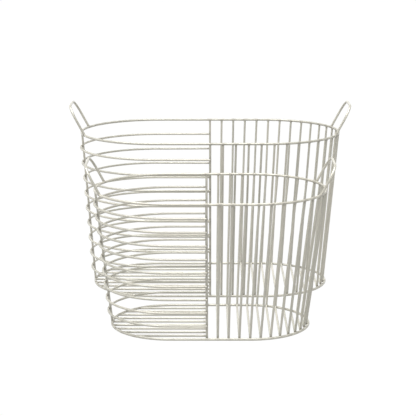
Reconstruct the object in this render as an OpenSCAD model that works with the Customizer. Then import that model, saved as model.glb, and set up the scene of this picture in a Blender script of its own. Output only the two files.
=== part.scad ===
// A set of two wire storage baskets of one design: a large one behind and a small one in front.
// Each is a tapered oval of welded round wire. Hoops run round its left half, and U-shaped ribs
// run down one wall, across the floor and up the other in its right half. A divider wire parts
// the halves, and a fixed loop handle stands on the rim at each end.
// Units are millimetres. X runs along the baskets, Y from front to back, and Z = 0 is the table.

/* [Large basket] */
// Length of the large basket over its rim
large_length = 500; // [440:5:640]
// Depth of the large basket over its rim
large_depth = 298; // [230:2:360]
// Height of the large basket, from the table to the top of its rim
large_height = 300; // [200:5:420]
// How far each wall of the large basket leans in on its way down to the base
large_lean = 22; // [6:1:36]
// Place of its divider, as a share of the way from the middle of a long side to the right tip
large_divider_share = 0; // [-0.1:0.005:0.03]
// Ribs in the right half of the large basket
large_rib_count = 13; // [6:1:13]
// Distance between the two legs of a handle of the large basket, centre to centre
large_handle_width = 104; // [84:2:140]
// Length of its handles along their slope, from the rim's centre to the grip's centre
large_handle_reach = 61; // [50:1:90]

/* [Small basket] */
// Length of the small basket over its rim
small_length = 408; // [400:2:520]
// Depth of the small basket over its rim
small_depth = 272; // [210:2:290]
// Height of the small basket, from the table to the top of its rim
small_height = 246; // [160:2:340]
// How far each wall of the small basket leans in on its way down to the base
small_lean = 27.5; // [6:0.5:34]
// Place of its divider, as a share of the way from the middle of a long side to the right tip
small_divider_share = -0.025; // [-0.1:0.005:0]
// Ribs in the right half of the small basket
small_rib_count = 12; // [6:1:12]
// Distance between the two legs of a handle of the small basket, centre to centre
small_handle_width = 114; // [84:2:140]
// Length of its handles along their slope, from the rim's centre to the grip's centre
small_handle_reach = 54; // [46:1:90]

/* [Wires] */
// Diameter of the rim wires
rim_wire = 4.5; // [3.6:0.1:6]
// Diameter of the rings that the baskets stand on
base_wire = 4.5; // [3.6:0.1:6]
// Diameter of the dividers and of the upright posts at the left tips
post_wire = 4; // [3:0.1:5]
// Diameter of the hoops, ribs and floor wires
fill_wire = 4; // [2.6:0.1:4.2]
// Diameter of the handle wires
handle_wire = 4.5; // [3.6:0.1:6]
// Depth to which wires that cross are pressed into each other by the weld
weld_bite = 0.2; // [0.1:0.05:0.3]
// Radius, at the wire's centre, where dividers and ribs turn from the wall into the floor
floor_bend = 5; // [4:0.5:7]

/* [Pattern] */
// Hoops round the left half of each basket
hoop_count = 9; // [4:1:10]
// Wires in the left half of each floor
floor_wire_count = 9; // [4:1:12]
// How far the hoops' ends run past the middle of the divider
hoop_lap = 1; // [0:0.5:3]
// Distance from the last rib's legs to the right tip, as a share of the gap between two ribs
tip_gap_share = 1; // [0.9:0.05:1.2]

/* [Handles] */
// Corner radius of the handles, at the wire's centre
handle_corner = 28; // [12:1:36]
// Angle by which the handles lean outward
handle_tilt = 28; // [0:1:40]

/* [Placing] */
// Clear space between the two baskets, front to back
stand_gap = 5; // [2:0.5:60]

/* [Hidden] */
$fn = 32;
coating = "#dedcd4";
// Height of the base ring's centre line, which the floor wires share
base_height = base_wire / 2;
// A bent stretch is a hair thicker than the straight ones, which run a little way into it
bend_swell = 0.03;
bend_entry = 0.1;

// A basket is kept as a list: length, depth, height, lean, number of ribs, width of its handles,
// their reach, the place of its middle along Y, and the share at which its divider stands
large_sizes = [large_length, large_depth, large_height, large_lean];
small_sizes = [small_length, small_depth, small_height, small_lean];
large_parts = [large_rib_count, large_handle_width, large_handle_reach];
small_parts = [small_rib_count, small_handle_width, small_handle_reach];
large_own_depth = outer_depth(large_sizes);
small_own_depth = outer_depth(small_sizes);
set_depth = large_own_depth + stand_gap + small_own_depth;
large = concat(large_sizes, large_parts, [(set_depth - large_own_depth) / 2, large_divider_share]);
small = concat(small_sizes, small_parts, [(small_own_depth - set_depth) / 2, small_divider_share]);

// Names of all the pieces, those of one basket at a time
function names(prefix, count) = [for (k = [1:count]) str(prefix, k)];
function basket_names(size, b) = concat(
    [str(size, "_rim"), str(size, "_base_ring"), str(size, "_divider"), str(size, "_left_post")],
    [str(size, "_left_handle"), str(size, "_right_handle")],
    names(str(size, "_hoop_"), hoop_count),
    names(str(size, "_rib_"), b[4]),
    [str(size, "_floor_wires")]
);

// Heights of the centre lines of the rim and of the hoops, counted from below
function rim_height(b) = b[2] - rim_wire / 2;
function hoop_height(b, k) = base_height + k * (rim_height(b) - base_height) / (hoop_count + 1);

// Half length and half depth of the ovals that the rim and the base ring follow
function rim_half_length(b) = (b[0] - rim_wire) / 2;
function rim_half_depth(b) = (b[1] - rim_wire) / 2;
function base_half_length(b) = (b[0] - base_wire) / 2 - b[3];
function base_half_depth(b) = (b[1] - base_wire) / 2 - b[3];

// Distance between the centre lines of two wires that are welded where they cross
function welded(one_wire, other_wire) = (one_wire + other_wire) / 2 - weld_bite;
// Distance from a wire's centre line at which a second wire's cut end is welded to it
function butted(wire) = wire / 2 - weld_bite;

// The ribs' legs are spaced evenly round the right half, between the divider's two legs
function rib_share(b, k) = b[8] + (1 - b[8]) * k / (b[4] + tip_gap_share);

// A share of the oval runs from 0 in the middle of a long side to 1 at the right tip. This gives
// a point's angle round the end of the oval, which is zero on the straight side, and the point.
function end_angle(half_length, half_depth, share) =
    let (side = half_length - half_depth, quarter = side + half_depth * PI / 2)
    max(0, (share * quarter - side) / half_depth) * 180 / PI;
function oval_point(half_length, half_depth, share, inset) =
    let (
        side = half_length - half_depth,
        quarter = side + half_depth * PI / 2,
        angle = end_angle(half_length, half_depth, share)
    )
    [min(side, share * quarter) + (half_depth - inset) * sin(angle), (half_depth - inset) * cos(angle)];

// How far inside the base ring's centre line a wall wire stands, so that its bend or its floor
// stretch touches the ring. The bend leaves room on the straight side, and less round the end.
function foot_inset(wire, angle) =
    let (
        reach = welded(base_wire, wire),
        square = sqrt(pow(reach + floor_bend, 2) - pow(floor_bend, 2)) - floor_bend
    )
    reach - (reach - square) * cos(angle);

// A wall wire's route as [foot x, half floor width, tilt, slope, leg length], for the wire that
// stands at the given share of the oval
function wall_wire(b, wire, share) =
    let (
        angle = end_angle(base_half_length(b), base_half_depth(b), share),
        top = oval_point(rim_half_length(b), rim_half_depth(b), share, 0),
        foot = oval_point(base_half_length(b), base_half_depth(b), share, foot_inset(wire, angle)),
        tilt = atan2(top[0] - foot[0], rim_height(b) - base_height),
        rise = (rim_height(b) - base_height) / cos(tilt) - floor_bend,
        half_floor = foot[1] - floor_bend,
        span = norm([top[1] - half_floor, rise]),
        slope = acos(floor_bend / span) - atan2(rise, top[1] - half_floor),
        leg = sqrt(span * span - floor_bend * floor_bend) - butted(rim_wire)
    )
    [foot[0], half_floor, tilt, slope, leg];

// Where the divider stands along X at a given height
function divider_place(b, height) =
    let (route = wall_wire(b, post_wire, b[8]))
    route[0] + (height - base_height) * tan(route[2]);

// Half depth and half length of the oval that a hoop follows outside the divider and the post.
// A wall has the same slope all along its straight side.
function hoop_half_depth(b, k) =
    let (slope = wall_wire(b, post_wire, 0)[3])
    rim_half_depth(b) - (rim_height(b) - hoop_height(b, k)) * tan(slope)
        + welded(post_wire, fill_wire) / cos(slope);
function hoop_half_length(b, k) =
    let (slope = atan2(rim_half_length(b) - base_half_length(b), rim_height(b) - base_height))
    rim_half_length(b) - (rim_height(b) - hoop_height(b, k)) * tan(slope)
        + welded(post_wire, fill_wire) / cos(slope);

// Depth of a whole basket, over its rim or its top hoop
function outer_depth(b) = max(b[1], 2 * hoop_half_depth(b, hoop_count) + fill_wire);

// A straight length of wire between two points
module rod(from, to, wire) {
    along = to - from;
    length = norm(along);
    translate(from)
        rotate([0, acos(along[2] / length), atan2(along[1], along[0])])
            cylinder(h = length, d = wire);
}

// A wire bent round a centre in the XY plane, from one angle on through a turn
module bend(centre, radius, wire, start, turn) {
    translate(centre)
        rotate([0, 0, start])
            rotate_extrude(angle = turn)
                translate([radius, 0])
                    circle(d = wire);
}

// A closed oval ring with straight sides and half-round ends
module oval_ring(half_length, half_depth, wire) {
    side = half_length - half_depth;
    for (face = [-1, 1]) {
        rod([-side, face * half_depth, 0], [side, face * half_depth, 0], wire);
        bend([face * side, 0, 0], half_depth, wire, -face * 90, 180);
    }
}

// The left half of an oval, whose two straight sides stop at a given place along X
module half_oval(half_length, half_depth, wire, stop) {
    side = half_length - half_depth;
    for (face = [-1, 1])
        rod([-side, face * half_depth, 0], [stop, face * half_depth, 0], wire);
    bend([-side, 0, 0], half_depth, wire, 90, 180);
}

// A wire bent to a U, drawn in the XY plane with its legs leaning outward by the slope
module u_wire(half_floor, corner, slope, leg, wire) {
    floor_end = half_floor + bend_entry;
    rod([-floor_end, 0, 0], [floor_end, 0, 0], wire);
    for (face = [0, 1])
        mirror([face, 0, 0])
            translate([half_floor, corner, 0]) {
                bend([0, 0, 0], corner, wire + bend_swell, -90, 90 - slope);
                rotate([0, 0, -slope])
                    rod([corner, -bend_entry, 0], [corner, leg, 0], wire);
            }
}

// Stands something drawn in the XY plane up, across the basket
module stand_across() {
    rotate([90, 0, 90])
        children();
}

// Puts a piece where its basket stands
module in_basket(b) {
    color(coating)
        translate([0, b[7], 0])
            children();
}

// The closed wire round the mouth
module rim(b) {
    in_basket(b)
        translate([0, 0, rim_height(b)])
            oval_ring(rim_half_length(b), rim_half_depth(b), rim_wire);
}

// The closed wire that the basket stands on
module base_ring(b) {
    in_basket(b)
        translate([0, 0, base_height])
            oval_ring(base_half_length(b), base_half_depth(b), base_wire);
}

// A U-wire from rim to rim across the floor, at a share of the oval
module wall_u(b, wire, share) {
    route = wall_wire(b, wire, share);
    in_basket(b)
        translate([route[0], 0, base_height])
            rotate([0, route[2], 0])
                stand_across()
                    u_wire(route[1], floor_bend, route[3], route[4], wire);
}

// The thicker U-wire between the basket's two halves
module divider(b) {
    wall_u(b, post_wire, b[8]);
}

// One of the U-wires of the right half, counted from the divider
module rib(b, k) {
    wall_u(b, fill_wire, rib_share(b, k));
}

// The upright at the left tip of the oval, from the base ring to the rim
module left_post(b) {
    foot = [-base_half_length(b), 0, base_height];
    top = [-rim_half_length(b), 0, rim_height(b)];
    along = (top - foot) / norm(top - foot);
    in_basket(b)
        rod(foot + butted(base_wire) * along, top - butted(rim_wire) * along, post_wire);
}

// One of the hoops round the left half, counted from below
module hoop(b, k) {
    stop = divider_place(b, hoop_height(b, k)) + hoop_lap;
    in_basket(b)
        translate([0, 0, hoop_height(b, k)])
            half_oval(hoop_half_length(b, k), hoop_half_depth(b, k), fill_wire, stop);
}

// The straight wires of the left half of the floor, from the divider to the base ring
module floor_wires(b) {
    half_depth = base_half_depth(b);
    side = base_half_length(b) - half_depth;
    spacing = 2 * half_depth / (floor_wire_count + 1);
    start = divider_place(b, base_height) - butted(post_wire);
    in_basket(b)
        for (k = [1:floor_wire_count]) {
            y = k * spacing - half_depth;
            end = -side - sqrt(pow(half_depth - butted(base_wire), 2) - y * y);
            rod([start, y, base_height], [end, y, base_height], fill_wire);
        }
}

// The loop handle on the rim at one end, which leans outward
module handle(b, side) {
    width = b[5];
    reach = b[6];
    half_depth = rim_half_depth(b);
    foot_x = rim_half_length(b) - half_depth + sqrt(pow(half_depth, 2) - pow(width / 2, 2));
    half_grip = width / 2 - handle_corner;
    leg = reach - handle_corner - butted(rim_wire);
    in_basket(b)
        translate([side * foot_x, 0, rim_height(b)])
            rotate([0, side * handle_tilt, 0])
                translate([0, 0, reach])
                    stand_across()
                        mirror([0, 1, 0])
                            u_wire(half_grip, handle_corner, 0, leg, handle_wire);
}

rim(large);  // large_rim
base_ring(large);  // large_base_ring
divider(large);  // large_divider
left_post(large);  // large_left_post
handle(large, -1);  // large_left_handle
handle(large, 1);  // large_right_handle
for (k = [1:hoop_count]) {
    hoop(large, k);
}
for (k = [1:large_rib_count]) {
    rib(large, k);
}
floor_wires(large);  // large_floor_wires

rim(small);  // small_rim
base_ring(small);  // small_base_ring
divider(small);  // small_divider
left_post(small);  // small_left_post
handle(small, -1);  // small_left_handle
handle(small, 1);  // small_right_handle
for (k = [1:hoop_count]) {
    hoop(small, k);
}
for (k = [1:small_rib_count]) {
    rib(small, k);
}
floor_wires(small);  // small_floor_wires
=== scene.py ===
"""Looks of a set of two storage baskets of welded round steel wire with an off-white powder coat.

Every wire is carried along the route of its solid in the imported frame, whose sizes are measured from the
frame itself. The looks add what the solids leave out: cut ends that the coating has rounded, the slight wave
of bent wire between its welds, and the fillets that metal and coating leave where two wires meet.

Lengths are in millimetres until a mesh is made, which is in metres.
"""

import logging
import math
from collections.abc import Iterator, Sequence
from dataclasses import dataclass, field, replace
from enum import Enum
from functools import partial
from typing import Any

import bpy
import numpy as np
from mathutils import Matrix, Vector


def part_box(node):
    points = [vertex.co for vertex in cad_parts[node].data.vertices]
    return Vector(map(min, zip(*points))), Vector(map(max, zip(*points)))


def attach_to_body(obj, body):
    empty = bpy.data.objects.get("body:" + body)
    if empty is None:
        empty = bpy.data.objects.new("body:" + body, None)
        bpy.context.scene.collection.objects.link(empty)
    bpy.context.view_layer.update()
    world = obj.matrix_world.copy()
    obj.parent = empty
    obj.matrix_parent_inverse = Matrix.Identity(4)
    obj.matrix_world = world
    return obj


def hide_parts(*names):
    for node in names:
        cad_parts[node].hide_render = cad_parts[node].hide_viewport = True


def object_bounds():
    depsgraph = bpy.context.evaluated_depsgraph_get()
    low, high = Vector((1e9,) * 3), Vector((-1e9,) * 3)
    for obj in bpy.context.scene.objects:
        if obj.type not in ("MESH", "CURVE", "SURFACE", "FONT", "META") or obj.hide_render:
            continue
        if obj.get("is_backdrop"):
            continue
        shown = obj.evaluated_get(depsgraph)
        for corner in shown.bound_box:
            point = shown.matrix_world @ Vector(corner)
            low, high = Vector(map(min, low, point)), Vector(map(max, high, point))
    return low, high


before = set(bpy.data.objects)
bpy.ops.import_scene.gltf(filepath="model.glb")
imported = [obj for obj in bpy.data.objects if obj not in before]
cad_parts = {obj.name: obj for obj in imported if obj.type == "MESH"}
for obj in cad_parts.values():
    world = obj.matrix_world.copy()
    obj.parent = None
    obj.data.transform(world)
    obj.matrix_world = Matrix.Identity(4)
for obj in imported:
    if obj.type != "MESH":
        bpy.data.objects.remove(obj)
CAD_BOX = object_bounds()

Array = np.ndarray
LOG = logging.getLogger("wire_baskets")
MM = 0.001
X_AXIS, Y_AXIS, Z_AXIS = np.eye(3)
# Greatest distance between the points of a wire's route, and of a route that is searched for welds
STEP, FINE_STEP = 4.0, 0.5
# Greatest turn between two points of a bend, in degrees
BEND_STEP = 7
# Points round a rim, base ring or handle, round a divider or post, and round any other wire
THICK_SIDES, POST_SIDES, THIN_SIDES = 22, 18, 16
# Lightest and darkest tone that a wire or a weld gets
TONES = (0.1, 0.9)
# A glow of this strength shows as pure white
WHITE_GLOW = 1.02


def linear_colour(code: str) -> tuple[float, float, float, float]:
    """Turns an sRGB hex colour into the linear colour that shaders and lights take.

    Args:
        code: Six hex digits after a hash.

    Returns:
        Red, green, blue and an alpha of one.
    """
    shares = np.array([int(code[k : k + 2], 16) for k in (1, 3, 5)]) / 255
    linear = np.where(shares <= 0.04045, shares / 12.92, ((shares + 0.055) / 1.055) ** 2.4)
    return (*(float(v) for v in linear), 1.0)


def add_node(
    tree: bpy.types.NodeTree,
    kind: str,
    inputs: dict[str | int, Any] | None = None,
    **settings: Any,
) -> bpy.types.Node:
    """Adds a node to a tree.

    Args:
        tree: The tree that the node goes into.
        kind: The node's type name.
        inputs: Values for its inputs. A socket is linked, and anything else is set on the input.
        settings: Values for its properties.

    Returns:
        The new node.
    """
    node = tree.nodes.new(kind)
    for name, value in settings.items():
        setattr(node, name, value)
    for name, value in (inputs or {}).items():
        if isinstance(value, bpy.types.NodeSocket):
            tree.links.new(value, node.inputs[name])
        else:
            node.inputs[name].default_value = value
    return node


def cleared(block: bpy.types.Material | bpy.types.World) -> bpy.types.NodeTree:
    """Gives the node tree of a material or a world with nothing in it.

    Args:
        block: The material or the world.

    Returns:
        The empty tree.
    """
    block.use_nodes = True
    block.node_tree.nodes.clear()
    return block.node_tree


def per_metre(size_mm: float) -> float:
    """Gives the texture scale, on coordinates in metres, whose features are about this size."""
    return 1 / (size_mm * MM)


# Finishes


@dataclass(frozen=True)
class PowderCoat:
    """Polyester powder, sprayed dry on welded steel wire and baked to a satin skin about 0.1 mm thick.

    To the eye it is opaque, with a soft broad gloss, a faint orange peel, and a tone that drifts a little with
    the skin's thickness. It pools in the creases of welds, where it is rougher, and where its colour is
    darkened by painted shade in the creases as well as by the pooled coating.

    Attributes:
        name: Name of the material.
        body: Colour of the skin.
        thin: Colour where the skin is thinner and the grey metal below cools it.
        pooled_and_shaded: Colour in the creases of the welds, which is painted crease shade over the pooled
        coating.
        drift_mm: Length over which the tone drifts along a wire.
        peel_mm: Width of one cell of the orange peel. The real 1 mm is drawn at 2.4 mm so that it shows.
        peel_depth_mm: Depth of the orange peel.
        grain_mm: Width of the powder's grains, drawn at twice their real size so that they show.
        mottle_range: Sums of drift and tone between which the colour goes from body to thin.
        grain_range: Values of the grain between which the roughness varies.
        roughness: Roughness of the skin, and how much it varies.
        crease_roughness: How much rougher the skin is on a weld.
        polish: How much smoother it is where hands hold it.
        grain_relief: Height of the grain as a share of the orange peel's.
        ior: Refractive index of the polyester.
        flake: Share of the light that fine metal flake in the powder throws back like metal.
        scuff_mm: Height over the table up to which the skin is scuffed. Zero is for a wire that nothing rubs.
        scuffed: Colour of the metal and primer in the scuffs.
        scuff_range: Values of the orange peel between which a scuff bares the metal.
    """

    name: str
    body: str = "#b1aea3"
    thin: str = "#a6a49a"
    pooled_and_shaded: str = "#7d786e"
    drift_mm: float = 34.0
    peel_mm: float = 2.4
    peel_depth_mm: float = 0.035
    grain_mm: float = 0.5
    mottle_range: tuple[float, float] = (0.55, 1.45)
    grain_range: tuple[float, float] = (0.3, 0.7)
    roughness: tuple[float, float] = (0.36, 0.06)
    crease_roughness: float = 0.12
    polish: float = 0.14
    grain_relief: float = 0.15
    ior: float = 1.5
    flake: float = 0.2
    scuff_mm: float = 0.0
    scuffed: str = "#8b8881"
    scuff_range: tuple[float, float] = (0.5, 0.62)

    def material(self) -> bpy.types.Material:
        """Makes the material.

        Returns:
            A material that reads object coordinates and the attributes tone, weld and touch.
        """
        made = bpy.data.materials.new(self.name)
        add = partial(add_node, cleared(made))
        place = add("ShaderNodeTexCoord").outputs["Object"]
        tone, weld, touch = (
            add("ShaderNodeAttribute", attribute_name=name).outputs["Fac"] for name in ("tone", "weld", "touch")
        )
        noises = ((self.drift_mm, 2.0, 0.5), (self.grain_mm, 1.0, 0.6), (self.peel_mm, 2.0, 0.45))
        drift, grain, peel = (
            add(
                "ShaderNodeTexNoise",
                {"Vector": place, "Scale": per_metre(size), "Detail": detail, "Roughness": rough},
            ).outputs["Fac"]
            for size, detail, rough in noises
        )
        mottle = add("ShaderNodeMath", {0: drift, 1: tone}, operation="ADD").outputs[0]
        least, most = self.mottle_range
        thinned = add("ShaderNodeMapRange", {"Value": mottle, "From Min": least, "From Max": most}).outputs[0]
        # Painted crease shade with the pooled coating: near welds the colour darkens towards the crease colour.
        crease_shade_mask = add("ShaderNodeMath", {0: weld, 1: grain}, operation="MULTIPLY").outputs[0]
        layers = [(thinned, self.thin), (crease_shade_mask, self.pooled_and_shaded)]
        if self.scuff_mm:
            height = add("ShaderNodeSeparateXYZ", {"Vector": place}).outputs["Z"]
            scuff = {"Value": height, "From Max": self.scuff_mm * MM, "To Min": 1.0, "To Max": 0.0}
            low = add("ShaderNodeMapRange", scuff).outputs[0]
            least, most = self.scuff_range
            specks = add("ShaderNodeMapRange", {"Value": peel, "From Min": least, "From Max": most}).outputs[0]
            bare = add("ShaderNodeMath", {0: low, 1: specks}, operation="MULTIPLY", use_clamp=True).outputs[0]
            layers.append((bare, self.scuffed))
        colour = linear_colour(self.body)
        for share, code in layers:
            blend = {0: share, 6: colour, 7: linear_colour(code)}
            colour = add("ShaderNodeMix", blend, data_type="RGBA").outputs[2]
        middle, swing = self.roughness
        least, most = self.grain_range
        matt = {"From Min": least, "From Max": most, "To Min": middle - swing, "To Max": middle + swing}
        rough = add("ShaderNodeMapRange", {"Value": grain, **matt}).outputs[0]
        for share, change in ((weld, self.crease_roughness), (touch, -self.polish)):
            rough = add("ShaderNodeMath", {0: share, 1: change, 2: rough}, operation="MULTIPLY_ADD").outputs[0]
        skin = {0: grain, 1: self.grain_relief, 2: peel}
        relief = add("ShaderNodeMath", skin, operation="MULTIPLY_ADD").outputs[0]
        bump = add("ShaderNodeBump", {"Distance": self.peel_depth_mm * MM, "Height": relief}).outputs["Normal"]
        shader = add(
            "ShaderNodeBsdfPrincipled",
            {"Base Color": colour, "Metallic": self.flake, "Roughness": rough, "IOR": self.ior, "Normal": bump},
        )
        add("ShaderNodeOutputMaterial", {"Surface": shader.outputs["BSDF"]})
        return made


@dataclass(frozen=True)
class LightTable:
    """Opal acrylic sheet, lit evenly from below, so that nothing on it casts a shadow that shows.

    Attributes:
        name: Name of the material.
        colour: Colour of its glow.
        shade: Colour where the sheet is a hair thicker.
        glow: Strength of the glow.
        cloud_mm: Width of the faint clouds in the acrylic.
    """

    name: str = "opal_acrylic_lit_from_below"
    colour: str = "#ffffff"
    shade: str = "#fdfdfd"
    glow: float = WHITE_GLOW
    cloud_mm: float = 120.0

    def material(self) -> bpy.types.Material:
        """Makes the material.

        Returns:
            A glowing material that reads object coordinates.
        """
        made = bpy.data.materials.new(self.name)
        add = partial(add_node, cleared(made))
        place = add("ShaderNodeTexCoord").outputs["Object"]
        clouds = {"Vector": place, "Scale": per_metre(self.cloud_mm), "Detail": 1.0}
        cloud = add("ShaderNodeTexNoise", clouds).outputs["Fac"]
        blend = {0: cloud, 6: linear_colour(self.colour), 7: linear_colour(self.shade)}
        colour = add("ShaderNodeMix", blend, data_type="RGBA").outputs[2]
        shader = add("ShaderNodeEmission", {"Color": colour, "Strength": self.glow})
        add("ShaderNodeOutputMaterial", {"Surface": shader.outputs["Emission"]})
        return made


class Coat(Enum):
    """The finishes of the baskets' wires."""

    FRAME = PowderCoat("satin_powder_coat_on_frame_wire")
    FILL = PowderCoat("satin_powder_coat_on_thin_wire", peel_mm=2.0, drift_mm=26.0)
    FOOT = PowderCoat("scuffed_powder_coat_on_base_wire", scuff_mm=0.9)
    # Weld fillets: their darker colour is painted crease shade as well as pooled coating.
    WELD = PowderCoat(
        "pooled_and_shaded_powder_coat_on_welds",
        body="#a9a69b",
        thin="#9d9a90",
        drift_mm=9.0,
        peel_depth_mm=0.06,
        roughness=(0.5, 0.08),
    )
    # Hoop welds: a dark colour that is painted shade, for the crevice where a hoop crosses the post or divider.
    CREASE = PowderCoat(
        "painted_shade_in_hoop_welds",
        body="#6a665d",
        thin="#5f5b53",
        drift_mm=9.0,
        peel_depth_mm=0.06,
        roughness=(0.6, 0.08),
    )


# Surfaces


@dataclass(frozen=True)
class Surface:
    """Points in millimetres and the faces between them.

    Attributes:
        points: One row of x, y and z a point.
        faces: Arrays of faces, each with one number of corners, which run anticlockwise seen from outside.
    """

    points: Array
    faces: tuple[Array, ...]

    @staticmethod
    def joined(parts: Sequence["Surface"]) -> "Surface":
        """Puts several surfaces into one, each still a shell of its own."""
        starts = np.cumsum([0] + [len(part.points) for part in parts])
        return Surface(
            np.concatenate([part.points for part in parts]),
            tuple(face + start for part, start in zip(parts, starts) for face in part.faces),
        )

    def to_object(self, name: str) -> bpy.types.Object:
        """Makes a smooth shaded mesh object, with its place in its mesh.

        Args:
            name: Name of the object and of its mesh.

        Returns:
            The object, linked into the scene.
        """
        counts = np.concatenate([np.full(len(face), face.shape[1]) for face in self.faces])
        corners = np.concatenate([face.ravel() for face in self.faces]).astype(np.int32)
        mesh = bpy.data.meshes.new(name)
        mesh.vertices.add(len(self.points))
        mesh.vertices.foreach_set("co", (self.points * MM).astype(np.float32).ravel())
        mesh.loops.add(len(corners))
        mesh.loops.foreach_set("vertex_index", corners)
        mesh.polygons.add(len(counts))
        mesh.polygons.foreach_set("loop_start", (np.cumsum(counts) - counts).astype(np.int32))
        mesh.polygons.foreach_set("use_smooth", np.ones(len(counts), bool))
        mesh.update(calc_edges=True)
        mesh.validate()
        made = bpy.data.objects.new(name, mesh)
        bpy.context.scene.collection.objects.link(made)
        return made


def ring_faces(rings: int, sides: int, closed: bool) -> Array:
    """Gives the four-cornered faces between neighbouring rings of points.

    Args:
        rings: Number of rings.
        sides: Points in a ring.
        closed: Whether the last ring joins the first.

    Returns:
        One row of four corners a face.
    """
    ring = np.arange(rings if closed else rings - 1)[:, None]
    side = np.arange(sides)[None, :]
    following, beside = (ring + 1) % rings, (side + 1) % sides
    corners = (ring * sides + side, ring * sides + beside, following * sides + beside, following * sides + side)
    return np.stack(corners, axis=-1).reshape(-1, 4)


def capped(rings: Array, poles: Array) -> Surface:
    """Joins a row of rings into a tube and closes each end with a fan of triangles.

    Args:
        rings: The points, by ring and by place in the ring.
        poles: The points in which the fan at the first ring and the one at the last ring meet.

    Returns:
        A closed surface.
    """
    count, sides = rings.shape[:2]
    side = np.arange(sides)
    following, final = (side + 1) % sides, (count - 1) * sides
    low = np.stack([np.full(sides, count * sides), following, side], axis=-1)
    high = np.stack([np.full(sides, count * sides + 1), final + side, final + following], axis=-1)
    points = np.concatenate([rings.reshape(-1, 3), poles])
    return Surface(points, (ring_faces(count, sides, False), np.concatenate([low, high])))


@dataclass(frozen=True)
class Route:
    """The centre line of a wire that lies in one plane.

    Attributes:
        points: Points of the line.
        headings: Unit direction of the line at each point.
        normal: Unit normal of its plane.
        closed: Whether the last point joins the first.
    """

    points: Array
    headings: Array
    normal: Array
    closed: bool = False

    @property
    def shares(self) -> Array:
        """How far along the line each point lies, from 0 to 1."""
        steps = np.linalg.norm(np.diff(self.points, axis=0), axis=1)
        return np.concatenate([[0.0], np.cumsum(steps)]) / steps.sum()

    def moved(self, offsets: Array) -> "Route":
        """Gives the route with an offset added to each point."""
        return replace(self, points=self.points + offsets)

    def inward(self, index: int) -> Array:
        """Gives the direction from the first point, for 0, or from the last one, for -1, into the line."""
        return self.headings[index] * (1 if index == 0 else -1)

    def part(self, kept: Array) -> "Route":
        """Gives the part of the line where kept is true."""
        return replace(self, points=self.points[kept], headings=self.headings[kept])

    def tube(self, radius: float, sides: int, rounding: float) -> Surface:
        """Carries a circle along the route.

        A ring's points are the route's point plus the radius times the cosine of an angle along the plane's
        normal, plus the radius times its sine along the heading turned by a quarter about the normal. At a cut
        end the last rings follow a quarter circle inwards, and a fan of triangles closes the flat that is left.

        Args:
            radius: Radius of the wire.
            sides: Points in a ring.
            rounding: Radius of the rounded edge of a cut end.

        Returns:
            The closed surface of the wire.
        """
        points, headings = self.points, self.headings
        radii = np.full(len(points), radius)
        if not self.closed:
            bevel = np.radians([0.0, 30.0, 60.0, 90.0])
            inset, drop = rounding * (1 - np.cos(bevel)), rounding * (1 - np.sin(bevel))
            first = points[0] + inset[:, None] * headings[0]
            last = points[-1] - inset[::-1, None] * headings[-1]
            points = np.concatenate([first, points[1:-1], last])
            start, end = (np.repeat(headings[[index]], len(bevel), axis=0) for index in (0, -1))
            headings = np.concatenate([start, headings[1:-1], end])
            radii = np.concatenate([radius - drop, radii[1:-1], radius - drop[::-1]])
        angles = np.arange(sides) * 2 * np.pi / sides
        beside = np.cross(headings, self.normal)
        spokes = np.cos(angles)[:, None] * self.normal + np.sin(angles)[:, None] * beside[:, None, :]
        rings = points[:, None, :] + radii[:, None, None] * spokes
        if self.closed:
            return Surface(rings.reshape(-1, 3), (ring_faces(len(points), sides, True),))
        return capped(rings, points[[0, -1]])


@dataclass
class Outline:
    """A flat line made of straight runs and round bends, drawn by a point that moves and turns.

    Attributes:
        start: Where the point starts.
        heading: The direction in which it starts, in radians.
        legs: Length and curvature of each stretch that was drawn. A left bend has a positive curvature.
    """

    start: tuple[float, float]
    heading: float
    legs: list[tuple[float, float]] = field(default_factory=list)

    def run(self, length: float) -> "Outline":
        """Goes straight on."""
        self.legs.append((length, 0.0))
        return self

    def bend(self, radius: float, degrees: float) -> "Outline":
        """Goes round a bend, to the left where degrees is positive."""
        self.legs.append((radius * abs(math.radians(degrees)), math.copysign(1 / radius, degrees)))
        return self

    def sampled(self, step: float) -> tuple[Array, Array]:
        """Gives the line's points and directions.

        Along a stretch the direction is the first one plus curvature times length. A point of a bend is the
        stretch's start plus the difference of the sines and cosines of both directions over the curvature.

        Args:
            step: Greatest distance between points.

        Returns:
            The points, and the unit directions at them.
        """
        place, heading = np.array(self.start, float), self.heading
        points, headings = [], []
        for length, curvature in self.legs:
            turned = abs(curvature) * length
            pieces = max(1, math.ceil(length / step), math.ceil(turned / math.radians(BEND_STEP)))
            along = np.linspace(0.0, length, pieces + 1)
            angles = heading + curvature * along
            if curvature:
                sines, cosines = np.sin(angles) - np.sin(heading), np.cos(heading) - np.cos(angles)
                offsets = np.stack([sines, cosines], axis=-1) / curvature
            else:
                offsets = along[:, None] * np.array([math.cos(heading), math.sin(heading)])
            points.append(place + offsets[:-1])
            headings.append(np.stack([np.cos(angles[:-1]), np.sin(angles[:-1])], axis=-1))
            place, heading = place + offsets[-1], float(angles[-1])
        points.append(place[None])
        headings.append(np.array([[math.cos(heading), math.sin(heading)]]))
        return np.concatenate(points), np.concatenate(headings)

    def route(self, origin: Array, across: Array, up: Array, step: float = STEP, closed: bool = False) -> Route:
        """Stands the line in space.

        Args:
            origin: Where the line's zero point lies.
            across: Unit direction of its x.
            up: Unit direction of its y.
            step: Greatest distance between points.
            closed: Whether it ends where it starts.

        Returns:
            The route.
        """
        points, headings = self.sampled(step)
        if closed:
            points, headings = points[:-1], headings[:-1]
        axes = np.stack([across, up])
        return Route(origin + points @ axes, headings @ axes, np.cross(across, up), closed)


# Welds


class Joint(Enum):
    """How two wires meet: one ends on the other, or they cross."""

    BUTT = "butt"
    CROSS = "cross"


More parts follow.
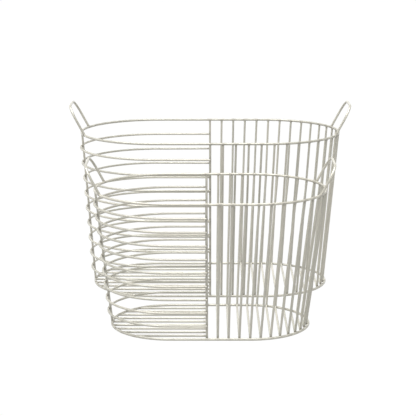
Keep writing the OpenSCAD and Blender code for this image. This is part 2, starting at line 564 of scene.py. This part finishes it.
@dataclass(frozen=True)
class Weld:
    """One weld.

    Attributes:
        joint: How the wires meet.
        at: For wires that cross, the middle of their contact. Otherwise the point on the centre line of the
            wire that the other one ends on.
        out: Unit direction from that wire towards the other.
        run: Unit direction of that wire.
        thick: Radius of that wire.
        thin: Radius of the other.
    """

    # Where one wire ends on the other: the rings as shares of the fillet's height, the foot's height and how
    # far it climbs as shares of the thick radius, and the neck's height as a share of the thin one
    FLARE_RINGS = (0.0, 0.18, 0.36, 0.56, 0.78, 1.0)
    FOOT, CLIMB, NECK = 0.5, 0.45, 0.75
    # How much wider than the thin wire the foot is along the thick one and beside it, its greatest width there
    # as a share of the thick radius, and the width of the last ring, which lies inside the thin wire
    FLARE_ALONG, FLARE_BESIDE, MOST_BESIDE, TUCK = 0.6, 0.22, 0.94, 0.9
    # Where they cross: angles of the rings in degrees, and half the height and width as shares of a radius
    ELLIPSOID_RINGS = (18.0, 42.0, 66.0, 90.0, 114.0, 138.0, 162.0)
    ELLIPSOID_HEIGHT, ELLIPSOID_WIDTH = 0.52, 0.8
    # How much a fillet swells and shrinks, as a share, and how far its poles stand out, in millimetres
    SWELL, POLE = 0.05, 0.05

    joint: Joint
    at: Array
    out: Array
    run: Array
    thick: float
    thin: float

    def surface(self, phase: float, sides: int = 12) -> Surface:
        """Makes the fillet of metal and coating round the weld.

        Rings of points go round the direction out. Where one wire ends on the other, the rings flare like a
        trumpet, by the square of the distance left to the neck, more along the wire than across it. Where they
        cross, the fillet is an ellipsoid that is flat across the contact. Both swell and shrink by a few
        hundredths with three times the angle, as no two welds are alike.

        Args:
            phase: Angle at which this weld swells.
            sides: Points in a ring.

        Returns:
            A closed surface.
        """
        if self.joint is Joint.BUTT:
            share = np.array(self.FLARE_RINGS)
            height = self.thick * (self.FOOT + self.CLIMB * share) + self.thin * self.NECK * share
            flare = (1 - share) ** 2
            along = self.thin * (1 + self.FLARE_ALONG * flare)
            beside = np.minimum(self.thin * (1 + self.FLARE_BESIDE * flare), self.thick * self.MOST_BESIDE)
            along[-1] = beside[-1] = self.thin * self.TUCK
        else:
            polar = np.radians(self.ELLIPSOID_RINGS)
            height = -self.ELLIPSOID_HEIGHT * self.thin * np.cos(polar)
            along = self.ELLIPSOID_WIDTH * self.thick * np.sin(polar)
            beside = self.ELLIPSOID_WIDTH * self.thin * np.sin(polar)
        angles = np.arange(sides) * 2 * np.pi / sides
        swell = 1 + self.SWELL * np.cos(3 * angles + phase)
        first = (along[:, None] * (np.cos(angles) * swell))[..., None] * self.run
        second = (beside[:, None] * (np.sin(angles) * swell))[..., None] * np.cross(self.out, self.run)
        rings = self.at + height[:, None, None] * self.out + first + second
        ends = np.array([height[0] - self.POLE, height[-1] + self.POLE])
        return capped(rings, self.at + ends[:, None] * self.out)


def crossing(first: Route, first_radius: float, second: Route, second_radius: float) -> Weld:
    """Finds where two wires touch side by side, at the least distance between their centre lines.

    Args:
        first: Route of the wire whose direction the fillet follows.
        first_radius: Its radius.
        second: Route of the other wire.
        second_radius: Its radius.

    Returns:
        The weld.
    """
    gaps = np.linalg.norm(first.points[:, None, :] - second.points[None, :, :], axis=-1)
    here, there = np.unravel_index(np.argmin(gaps), gaps.shape)
    start, end = first.points[here], second.points[there]
    gap = np.linalg.norm(end - start)
    out = (end - start) / gap
    run = first.headings[here] - (first.headings[here] @ out) * out
    middle = start + out * (gap + first_radius - second_radius) / 2
    return Weld(Joint.CROSS, middle, out, run / np.linalg.norm(run), second_radius, first_radius)


def ending(at: Array, towards: Array, run: Array, thick: float, thin: float) -> Weld:
    """Describes the weld of a wire that ends on another.

    Args:
        at: Point on the centre line of the wire that is met.
        towards: Direction from there along the wire that ends.
        run: Direction of the wire that is met.
        thick: Radius of the wire that is met.
        thin: Radius of the wire that ends.

    Returns:
        The weld.
    """
    out = towards / np.linalg.norm(towards)
    level = run - (run @ out) * out
    return Weld(Joint.BUTT, at, out, level / np.linalg.norm(level), thick, thin)


# The baskets' parts


def node_box(node: str) -> tuple[Array, Array]:
    """Gives the lowest and the highest corner of a node's solid, in millimetres."""
    low, high = (np.array(corner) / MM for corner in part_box(node))
    return low, high


@dataclass(frozen=True)
class Gauges:
    """Wire diameters and bends that both baskets share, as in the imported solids.

    Attributes:
        rim: Diameter of the rims.
        base: Diameter of the base rings.
        post: Diameter of the dividers and posts.
        fill: Diameter of the hoops, ribs and floor wires.
        handle: Diameter of the handles.
        weld_bite: How far two wires are pressed into each other at a weld.
        floor_bend: Radius of the bend from wall to floor, on the centre line.
        hoop_lap: How far a hoop runs on past the divider's middle.
        handle_corner: Radius of a handle's corners, on the centre line.
        tip_gap_share: Gap between the last rib and the tip, as a share of the gap between two ribs.
    """

    rim: float = 4.5
    base: float = 4.5
    post: float = 4.0
    fill: float = 4.0
    handle: float = 4.5
    weld_bite: float = 0.2
    floor_bend: float = 5.0
    hoop_lap: float = 1.0
    handle_corner: float = 28.0
    tip_gap_share: float = 1.0

    def welded(self, one: float, other: float) -> float:
        """Distance between the centre lines of two wires that are welded where they cross."""
        return (one + other) / 2 - self.weld_bite

    def butted(self, wire: float) -> float:
        """Distance from a wire's centre line to the end of a wire that is welded to it."""
        return wire / 2 - self.weld_bite

    def on_rim(self, rim: Route, wire: Route, index: int, thin: float) -> Weld:
        """Describes the weld of a wire that ends on the rim.

        Args:
            rim: Route of the rim.
            wire: Route of the wire.
            index: Which end of it, 0 or -1.
            thin: Radius of the wire.

        Returns:
            The weld.
        """
        inward = wire.inward(index)
        at = wire.points[index] - inward * self.butted(self.rim)
        nearest = np.argmin(np.linalg.norm(rim.points - at, axis=1))
        return ending(at, inward, rim.headings[nearest], self.rim / 2, thin)


@dataclass(frozen=True)
class Oval:
    """The centre line of a level ring with straight sides and half-round ends.

    Attributes:
        half_length: Half its length.
        half_depth: Half its depth.
        height: Height at which it lies.
    """

    half_length: float
    half_depth: float
    height: float

    @property
    def side(self) -> float:
        """Half length of a straight side."""
        return self.half_length - self.half_depth

    @property
    def quarter(self) -> float:
        """Length from the middle of a side to a tip."""
        return self.side + self.half_depth * math.pi / 2

    def end_angle(self, share: float) -> float:
        """Gives the angle round the right end at a share of the quarter, in radians."""
        return max(0.0, (share * self.quarter - self.side) / self.half_depth)

    def point(self, share: float, inset: float = 0.0) -> Array:
        """Gives the point at a share of the right back quarter.

        Args:
            share: Share of the quarter, from 0 in the middle to 1 at the tip.
            inset: How far inside the oval the point lies.

        Returns:
            The point's x and y, from the basket's middle.
        """
        angle, reach = self.end_angle(share), self.half_depth - inset
        straight = min(self.side, share * self.quarter)
        return np.array([straight + reach * math.sin(angle), reach * math.cos(angle)])


@dataclass(frozen=True)
class Form:
    """The tapered oval form of one basket, on which all of its wires lie.

    Attributes:
        name: First part of the names of its nodes.
        rim: Centre line of the rim.
        base: Centre line of the base ring.
        hoops: Number of hoops.
        ribs: Number of ribs.
        place: Where its middle stands along y.
        divider_share: Share of an oval's quarter at which the divider stands.
        gauges: The wires and bends.
    """

    name: str
    rim: Oval
    base: Oval
    hoops: int
    ribs: int
    place: float
    divider_share: float
    gauges: Gauges

    @classmethod
    def measured(cls, name: str, gauges: Gauges) -> "Form":
        """Takes the form of a basket from its solids in the frame.

        Args:
            name: First part of the names of its nodes.
            gauges: The wires and bends.

        Returns:
            The form.
        """
        rim_low, rim_high = node_box(f"{name}_rim")
        base_low, base_high = node_box(f"{name}_base_ring")
        divider_low, divider_high = node_box(f"{name}_divider")
        rim_half = (rim_high - rim_low - gauges.rim) / 2
        base_half = (base_high - base_low - gauges.base) / 2
        rim = Oval(rim_half[0], rim_half[1], rim_high[2] - gauges.rim / 2)
        base = Oval(base_half[0], base_half[1], gauges.base / 2)
        hoops, ribs = (
            sum(node.startswith(f"{name}_{kind}_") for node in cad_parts) for kind in ("hoop", "rib")
        )
        place = (rim_high[1] + rim_low[1]) / 2
        share = (divider_low[0] + divider_high[0]) / (rim.quarter + base.quarter)
        return cls(name, rim, base, hoops, ribs, place, share, gauges)

    @property
    def rise(self) -> float:
        """Height from the base ring's centre line to the rim's."""
        return self.rim.height - self.base.height

    def at_height(self, height: float) -> Array:
        """Gives the point at a height on the basket's own upright middle line."""
        return np.array([0.0, self.place, height])

    def foot_inset(self, wire: float, angle: float) -> float:
        """Gives how far inside the base ring a wall wire stands so that it touches the ring."""
        reach, bend = self.gauges.welded(self.gauges.base, wire), self.gauges.floor_bend
        square = math.sqrt((reach + bend) ** 2 - bend**2) - bend
        return reach - (reach - square) * math.cos(angle)


@dataclass(frozen=True)
class Wire:
    """One piece of wire, or several alike, that stand for a node of the frame.

    Attributes:
        node: The node.
        routes: The centre lines.
        radius: Radius of the wire.
        coat: Its finish.
        sides: Points round the wire.
        rounding: Radius to which the coating rounds its cut ends.
        touched: Height over which hands polish it, from the top down. Zero is for a wire that no hand holds.
        weld_reach: Distance from a weld over which the pooled coating and the painted crease shade fade.
    """

    node: str
    routes: list[Route]
    radius: float
    coat: Coat
    sides: int
    rounding: float = 0.55
    touched: float = 0.0
    weld_reach: float = 2.2

    def dressed(self, body: str, spots: Array, tones: np.random.Generator) -> bpy.types.Object:
        """Makes the wire's object, which takes the node's place.

        Each point knows three things that its coat reads. Its tone is one number for the whole wire. Its weld
        value falls from 1 to 0 as a bell curve of its distance to the nearest weld. Its touch value falls from
        1 at the top of a grip to 0 below.

        Args:
            body: The body that the wire moves with.
            spots: The middles of the basket's welds.
            tones: Source of each wire's tone.

        Returns:
            The object.
        """
        shells = [route.tube(self.radius, self.sides, self.rounding) for route in self.routes]
        surface = Surface.joined(shells)
        piece = surface.to_object(f"{self.node}_coated")
        tone = np.concatenate([np.full(len(shell.points), tones.uniform(*TONES)) for shell in shells])
        gaps = np.linalg.norm(surface.points[:, None, :] - spots[None, :, :], axis=-1).min(axis=1)
        # The weld value darkens the coat near welds with painted crease shade and pooled coating, and roughens
        # it.
        weld = np.exp(-((np.maximum(gaps - self.radius, 0.0) / self.weld_reach) ** 2))
        touch = np.zeros(len(tone))
        if self.touched:
            height = surface.points[:, 2]
            touch = np.clip(1 - (height.max() - height) / self.touched, 0, 1)
        attach(piece, self.coat, body, tone=tone, weld=weld, touch=touch)
        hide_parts(self.node)
        LOG.info("%s: %d wire(s), %.1f mm thick, %d points", piece.name, len(shells), 2 * self.radius, len(tone))
        return piece


def attach(piece: bpy.types.Object, coat: Coat, body: str, **values: Array) -> None:
    """Gives a piece its finish and its body.

    Args:
        piece: The piece.
        coat: Its finish.
        body: The body that it moves with.
        values: Numbers for each of its points, which the coat's material reads.
    """
    for name, numbers in values.items():
        made = piece.data.attributes.new(name, "FLOAT", "POINT")
        made.data.foreach_set("value", np.asarray(numbers, np.float32))
    material = bpy.data.materials.get(coat.value.name) or coat.value.material()
    piece.data.materials.append(material)
    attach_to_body(piece, body)


@dataclass(frozen=True)
class Rings:
    """The closed rim at the mouth and the closed ring that the basket stands on.

    Attributes:
        form: The basket's form.
        step: Greatest distance between the points of their routes.
    """

    form: Form
    step: float = STEP

    def route(self, oval: Oval) -> Route:
        """Gives the route round an oval."""
        line = Outline((-oval.side, -oval.half_depth), 0.0)
        for _ in range(2):
            line.run(2 * oval.side).bend(oval.half_depth, 180)
        return line.route(self.form.at_height(oval.height), X_AXIS, Y_AXIS, self.step, closed=True)

    def wires(self) -> Iterator[Wire]:
        """Gives both wires."""
        form, gauges = self.form, self.form.gauges
        yield Wire(f"{form.name}_rim", [self.route(form.rim)], gauges.rim / 2, Coat.FRAME, THICK_SIDES)
        yield Wire(f"{form.name}_base_ring", [self.route(form.base)], gauges.base / 2, Coat.FOOT, THICK_SIDES)


@dataclass(frozen=True)
class WallWires:
    """The divider, the ribs and the post, which stand in the walls.

    Attributes:
        form: The basket's form.
        bow: How far a rib's leg may bow sideways between its welds.
    """

    form: Form
    bow: float = 0.45

    def upright(self, wire: float, share: float, step: float = STEP) -> Route:
        """Gives the route of a U-wire at a share of the oval, from the front rim to the back one."""
        form, gauges = self.form, self.form.gauges
        top = form.rim.point(share)
        foot = form.base.point(share, form.foot_inset(wire, form.base.end_angle(share)))
        bend = gauges.floor_bend
        tilt = math.atan2(top[0] - foot[0], form.rise)
        rise = form.rise / math.cos(tilt) - bend
        half_floor = foot[1] - bend
        span = math.hypot(top[1] - half_floor, rise)
        slope = math.acos(bend / span) - math.atan2(rise, top[1] - half_floor)
        leg = math.sqrt(span**2 - bend**2) - gauges.butted(gauges.rim)
        turn = 90 - math.degrees(slope)
        reach = leg * math.sin(slope) + bend * math.cos(slope) + half_floor
        height = leg * math.cos(slope) - bend * math.sin(slope) + bend
        line = Outline((-reach, height), slope - math.pi / 2)
        line.run(leg).bend(bend, turn).run(2 * half_floor).bend(bend, turn).run(leg)
        up = np.array([math.sin(tilt), 0.0, math.cos(tilt)])
        origin = form.at_height(form.base.height) + foot[0] * X_AXIS
        return line.route(origin, Y_AXIS, up, step)

    def places(self) -> list[tuple[float, float]]:
        """Gives the wire's diameter and the share of the oval, for the divider and then for each rib."""
        ribs, gauges, first = self.form.ribs, self.form.gauges, self.form.divider_share
        shares = [first + (1 - first) * k / (ribs + gauges.tip_gap_share) for k in range(1, ribs + 1)]
        return [(gauges.post, first), *((gauges.fill, share) for share in shares)]

    def divider(self, step: float = STEP) -> Route:
        """Gives the route of the divider."""
        return self.upright(*self.places()[0], step)

    def divider_place(self, height: float) -> float:
        """Gives where the divider stands along x at a height."""
        points = self.divider().points
        top, foot = points[0], points[len(points) // 2]
        return float(np.interp(height, (foot[2], top[2]), (foot[0], top[0])))

    def bowed(self, route: Route, chance: np.random.Generator) -> Route:
        """Bows each leg sideways by half a sine wave over its height, so that its welds stay in place."""
        form = self.form
        up = np.clip((route.points[:, 2] - form.base.height) / form.rise, 0, 1)
        back, front = chance.uniform(-self.bow, self.bow, 2)
        size = np.where(route.points[:, 1] > form.place, back, front)
        return route.moved((size * np.sin(np.pi * up))[:, None] * X_AXIS)

    def post(self, step: float = STEP) -> Route:
        """Gives the route of the post at the left tip, from the base ring up to the rim."""
        form, gauges = self.form, self.form.gauges
        foot, top = (form.at_height(oval.height) - oval.half_length * X_AXIS for oval in (form.base, form.rim))
        length = np.linalg.norm(top - foot)
        up = (top - foot) / length
        line = Outline((0.0, gauges.butted(gauges.base)), math.pi / 2)
        line.run(length - gauges.butted(gauges.base) - gauges.butted(gauges.rim))
        return line.route(foot, Y_AXIS, up, step)

    def wires(self, chance: np.random.Generator) -> Iterator[Wire]:
        """Gives all of these wires."""
        name, gauges = self.form.name, self.form.gauges
        yield Wire(f"{name}_divider", [self.divider()], gauges.post / 2, Coat.FRAME, POST_SIDES)
        yield Wire(f"{name}_left_post", [self.post()], gauges.post / 2, Coat.FRAME, POST_SIDES)
        for number, place in enumerate(self.places()[1:], start=1):
            route = self.bowed(self.upright(*place), chance)
            yield Wire(f"{name}_rib_{number}", [route], gauges.fill / 2, Coat.FILL, THIN_SIDES)

    def rim_welds(self, rim: Route) -> Iterator[Weld]:
        """Gives the welds under the rim."""
        gauges = self.form.gauges
        ends = [(self.upright(*place), place[0], index) for place in self.places() for index in (0, -1)]
        ends.append((self.post(), gauges.post, -1))
        for route, wire, index in ends:
            yield gauges.on_rim(rim, route, index, wire / 2)

    def base_welds(self, base: Route) -> Iterator[Weld]:
        """Gives the welds on the base ring."""
        form, gauges = self.form, self.form.gauges
        for wire, share in self.places():
            route = self.upright(wire, share, FINE_STEP)
            for back in (True, False):
                half = (route.points[:, 1] > form.place) == back
                low = route.points[:, 2] < form.base.height + 2 * gauges.floor_bend
                yield crossing(route.part(half & low), wire / 2, base, gauges.base / 2)
        post = self.post()
        at = post.points[0] - post.headings[0] * gauges.butted(gauges.base)
        yield ending(at, post.headings[0], Y_AXIS, gauges.base / 2, gauges.post / 2)


@dataclass(frozen=True)
class Hoops:
    """The hoops round the left half, welded outside the divider and the post.

    Attributes:
        form: The basket's form.
        wave: How far a hoop may rise or sink between its welds.
    """

    form: Form
    wave: float = 0.5

    def route(self, number: int, step: float = STEP) -> Route:
        """Gives the route of a hoop, counted from below, from the back end to the front one."""
        form, gauges = self.form, self.form.gauges
        height = form.base.height + number * form.rise / (form.hoops + 1)
        below = form.rim.height - height
        walls = WallWires(form)
        divider = walls.divider().headings[-1]
        lean = math.atan2(divider[1], divider[2])
        slope = math.atan2(form.rim.half_length - form.base.half_length, form.rise)
        reach = gauges.welded(gauges.post, gauges.fill)
        half_depth = form.rim.half_depth - below * math.tan(lean) + reach / math.cos(lean)
        half_length = form.rim.half_length - below * math.tan(slope) + reach / math.cos(slope)
        side, stop = half_length - half_depth, walls.divider_place(height) + gauges.hoop_lap
        line = Outline((stop, half_depth), math.pi)
        line.run(side + stop).bend(half_depth, 180).run(side + stop)
        return line.route(form.at_height(height), X_AXIS, Y_AXIS, step)

    def waved(self, route: Route, chance: np.random.Generator) -> Route:
        """Raises and lowers a hoop by two sine waves over its length that are zero at its three welds."""
        shares = route.shares
        slow, fast = chance.uniform(-1, 1, 2) * np.array([self.wave, self.wave / 2])
        rise = slow * np.sin(2 * np.pi * shares) + fast * np.sin(4 * np.pi * shares)
        return route.moved(rise[:, None] * Z_AXIS)

    def wires(self, chance: np.random.Generator) -> Iterator[Wire]:
        """Gives all the hoops."""
        name, radius = self.form.name, self.form.gauges.fill / 2
        for number in range(1, self.form.hoops + 1):
            route = self.waved(self.route(number), chance)
            yield Wire(f"{name}_hoop_{number}", [route], radius, Coat.FILL, THIN_SIDES)

    def welds(self) -> Iterator[Weld]:
        """Gives the welds of all the hoops, on the divider's two legs and on the post."""
        form, gauges = self.form, self.form.gauges
        walls = WallWires(form)
        divider, post = walls.divider(FINE_STEP), walls.post(FINE_STEP)
        for number in range(1, form.hoops + 1):
            hoop = self.route(number, FINE_STEP)
            for back in (True, False):
                leg = divider.part((divider.points[:, 1] > form.place) == back)
                yield crossing(hoop, gauges.fill / 2, leg, gauges.post / 2)
            yield crossing(hoop, gauges.fill / 2, post, gauges.post / 2)


@dataclass(frozen=True)
class FloorWires:
    """The straight wires of the left half of the floor.

    Attributes:
        form: The basket's form.
        count: Number of wires.
        step: Greatest distance between the points of their routes.
    """

    form: Form
    count: int = 9
    step: float = 6.0

    def routes(self) -> list[Route]:
        """Gives the routes, from the divider to the base ring."""
        base, gauges = self.form.base, self.form.gauges
        spacing = 2 * base.half_depth / (self.count + 1)
        start = WallWires(self.form).divider_place(base.height) - gauges.butted(gauges.post)
        made = []
        for number in range(1, self.count + 1):
            y = number * spacing - base.half_depth
            end = base.side + math.sqrt((base.half_depth - gauges.butted(gauges.base)) ** 2 - y**2)
            line = Outline((start, y), math.pi).run(end + start)
            made.append(line.route(self.form.at_height(base.height), X_AXIS, Y_AXIS, self.step))
        return made

    def wires(self) -> Iterator[Wire]:
        """Gives the wires as one piece."""
        radius = self.form.gauges.fill / 2
        yield Wire(f"{self.form.name}_floor_wires", self.routes(), radius, Coat.FILL, THIN_SIDES)

    def welds(self) -> Iterator[Weld]:
        """Gives the welds on the divider and on the base ring."""
        base, gauges = self.form.base, self.form.gauges
        centre = self.form.at_height(base.height) - base.side * X_AXIS
        for route in self.routes():
            start, end, heading = route.points[0], route.points[-1], route.headings[0]
            at = start - heading * gauges.butted(gauges.post)
            yield ending(at, heading, Y_AXIS, gauges.post / 2, gauges.fill / 2)
            spoke = (end - centre) / np.linalg.norm(end - centre)
            at, run = centre + base.half_depth * spoke, np.cross(Z_AXIS, spoke)
            yield ending(at, -heading, run, gauges.base / 2, gauges.fill / 2)


@dataclass(frozen=True)
class Handles:
    """The two loop handles, whose sizes are measured from their solids.

    Attributes:
        form: The basket's form.
        width: Distance between the legs.
        reach: Length along the slope, from the rim's centre line to the grip's.
        tilt: Angle by which they lean outward, in radians.
        foot_x: Distance of their feet from the basket's middle.
        held: Height over which hands polish them.
        step: Greatest distance between the points of their routes.
    """

    form: Form
    width: float
    reach: float
    tilt: float
    foot_x: float
    held: float = 26.0
    step: float = 2.5

    @classmethod
    def measured(cls, form: Form) -> "Handles":
        """Takes the sizes from the right handle's solid."""
        rim, radius = form.rim, form.gauges.handle / 2
        low, high = node_box(f"{form.name}_right_handle")
        width = high[1] - low[1] - 2 * radius
        foot_x = rim.side + math.sqrt(rim.half_depth**2 - width**2 / 4)
        out, up = high[0] - radius - foot_x, high[2] - radius - rim.height
        return cls(form, width, math.hypot(out, up), math.atan2(out, up), foot_x)

    def route(self, side: int) -> Route:
        """Gives the route of the handle at the left end, for -1, or at the right end, for 1."""
        form, gauges = self.form, self.form.gauges
        corner, foot = gauges.handle_corner, gauges.butted(gauges.rim)
        leg = self.reach - corner - foot
        line = Outline((-self.width / 2, foot), math.pi / 2)
        line.run(leg).bend(corner, -90).run(self.width - 2 * corner).bend(corner, -90).run(leg)
        up = np.array([side * math.sin(self.tilt), 0.0, math.cos(self.tilt)])
        origin = form.at_height(form.rim.height) + side * self.foot_x * X_AXIS
        return line.route(origin, Y_AXIS, up, self.step)

    def wires(self) -> Iterator[Wire]:
        """Gives both handles."""
        for side, word in ((-1, "left"), (1, "right")):
            node, radius = f"{self.form.name}_{word}_handle", self.form.gauges.handle / 2
            yield Wire(node, [self.route(side)], radius, Coat.FRAME, THICK_SIDES, touched=self.held)

    def welds(self, rim: Route) -> Iterator[Weld]:
        """Gives the welds of the handles' feet on the rim."""
        gauges = self.form.gauges
        for side in (-1, 1):
            route = self.route(side)
            for index in (0, -1):
                yield gauges.on_rim(rim, route, index, gauges.handle / 2)


@dataclass(frozen=True)
class Basket:
    """One whole basket, which puts its parts together and dresses them.

    Attributes:
        form: Its form.
        body: The body of the frame that it moves with.
        seed: Number from which its small irregularities come.
        weld_step: Distance between the points of a ring that is searched for welds.
        weld_shade_and_pool: How much of the darker crease colour a weld shows, which is painted crease shade as
        well as pooled coating.
    """

    form: Form
    body: str
    seed: int
    weld_step: float = 1.0
    weld_shade_and_pool: float = 0.35

    def weld_groups(self) -> dict[str, list[Weld]]:
        """Gives the welds under the name of the place where they are."""
        rings, walls = Rings(self.form, self.weld_step), WallWires(self.form)
        rim, base = rings.route(self.form.rim), rings.route(self.form.base)
        return {
            "rim_welds": list(walls.rim_welds(rim)),
            "handle_welds": list(Handles.measured(self.form).welds(rim)),
            "hoop_welds": list(Hoops(self.form).welds()),
            "base_welds": list(walls.base_welds(base)),
            "floor_welds": list(FloorWires(self.form).welds()),
        }

    def build(self) -> list[bpy.types.Object]:
        """Builds and dresses every piece.

        Returns:
            The pieces.
        """
        chance = np.random.default_rng(self.seed)
        groups = self.weld_groups()
        spots = np.array([weld.at for welds in groups.values() for weld in welds])
        wires = [
            *Rings(self.form).wires(),
            *WallWires(self.form).wires(chance),
            *Hoops(self.form).wires(chance),
            *FloorWires(self.form).wires(),
            *Handles.measured(self.form).wires(),
        ]
        pieces = [wire.dressed(self.body, spots, chance) for wire in wires]
        for word, welds in groups.items():
            shells = [weld.surface(chance.uniform(0, 2 * np.pi)) for weld in welds]
            piece = Surface.joined(shells).to_object(f"{self.form.name}_{word}")
            count = len(piece.data.vertices)
            tone = np.repeat(chance.uniform(*TONES, len(shells)), [len(shell.points) for shell in shells])
            # Painted shade: hoop welds get a dark shade colour, the other welds painted crease shade over pooled
            # coating.
            coat = Coat.CREASE if word == "hoop_welds" else Coat.WELD
            shade_and_pool = np.full(count, self.weld_shade_and_pool)
            attach(piece, coat, self.body, tone=tone, weld=shade_and_pool, touch=np.zeros(count))
            LOG.info("%s: %d welds, %d points", piece.name, len(welds), count)
            pieces.append(piece)
        return pieces


# The studio


@dataclass(frozen=True)
class Studio:
    """A plain white table under soft light in a white room, and the camera.

    Attributes:
        floor_metres: Length of the table's sides.
        overhead_strength: Strength of the broad light overhead.
        overhead_degrees: Width of that light as the baskets see it.
        overhead_turn: How it is turned from straight overhead, in degrees.
        surround: Brightness of the room over the walls.
        wall_degrees: How high the white walls reach, and the height at which their light has faded away.
        camera_mm: Place of the camera.
        pitch_degrees: How far it looks down.
        view_degrees: Width of its view.
        clip_metres: Least and greatest distance at which it sees.
    """

    floor_metres: float = 60.0
    overhead_strength: float = 6.7
    overhead_degrees: float = 60.0
    overhead_turn: tuple[float, float, float] = (8.0, -8.0, 0.0)
    surround: float = 0.2
    wall_degrees: tuple[float, float] = (16.0, 30.0)
    camera_mm: tuple[float, float, float] = (-4.05, -2640.23, 749.1)
    pitch_degrees: float = 12.246
    view_degrees: float = 16.28
    clip_metres: tuple[float, float] = (0.1, 100.0)

    def floor(self) -> bpy.types.Object:
        """Lays the white table, a square whose points are its corners."""
        half = self.floor_metres / 2 / MM
        points = half * np.array([[-1, -1, 0], [1, -1, 0], [1, 1, 0], [-1, 1, 0]])
        made = Surface(points, (np.array([[0, 1, 2, 3]]),)).to_object("studio_floor")
        made.data.materials.append(LightTable().material())
        made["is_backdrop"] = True
        return made

    def lights(self) -> None:
        """Hangs the light overhead, and makes the walls white and the rest of the room dim."""
        data = bpy.data.lights.new("overhead_scrim", "SUN")
        data.energy = self.overhead_strength
        data.angle = math.radians(self.overhead_degrees)
        made = bpy.data.objects.new("overhead_scrim", data)
        made.rotation_euler = [math.radians(angle) for angle in self.overhead_turn]
        bpy.context.scene.collection.objects.link(made)
        world = bpy.data.worlds.new("white_room")
        add = partial(add_node, cleared(world))
        direction = add("ShaderNodeTexCoord").outputs["Generated"]
        height = add("ShaderNodeSeparateXYZ", {"Vector": direction}).outputs["Z"]
        low, high = (math.sin(math.radians(angle)) for angle in self.wall_degrees)
        fade = {"From Min": low, "From Max": high, "To Min": WHITE_GLOW, "To Max": self.surround}
        strength = add("ShaderNodeMapRange", {"Value": height, **fade}).outputs[0]
        glow = add("ShaderNodeBackground", {"Color": linear_colour("#ffffff"), "Strength": strength})
        add("ShaderNodeOutputWorld", {"Surface": glow.outputs["Background"]})
        bpy.context.scene.world = world

    def camera(self) -> None:
        """Stands the camera where the photographer stood."""
        data = bpy.data.cameras.new("photo_camera")
        data.lens = data.sensor_width / 2 / math.tan(math.radians(self.view_degrees / 2))
        data.clip_start, data.clip_end = self.clip_metres
        made = bpy.data.objects.new("photo_camera", data)
        made.location = [value * MM for value in self.camera_mm]
        made.rotation_euler = (math.radians(90 - self.pitch_degrees), 0.0, 0.0)
        bpy.context.scene.collection.objects.link(made)
        bpy.context.scene.camera = made

    def build(self) -> None:
        """Builds the whole studio."""
        self.floor()
        self.lights()
        self.camera()
        bpy.context.scene.view_settings.view_transform = "Standard"


def write_sizes() -> None:
    """Gathers the solids' box and the dressed baskets' box, in metres, and keeps neither."""
    boxes = {"cad": CAD_BOX, "visual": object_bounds()}
    {name: [list(corner) for corner in box] for name, box in boxes.items()}


def main() -> None:
    """Builds the studio and both baskets, and reports what was made."""
    logging.basicConfig(level=logging.INFO, format="%(name)s: %(message)s")
    Studio().build()
    gauges = Gauges()
    made = []
    for seed, name in enumerate(("large", "small"), start=11):
        made += Basket(Form.measured(name, gauges), f"{name}_basket", seed).build()
    LOG.info("%d pieces, %d faces", len(made), sum(len(piece.data.polygons) for piece in made))
    write_sizes()


if __name__ == "__main__":
    main()
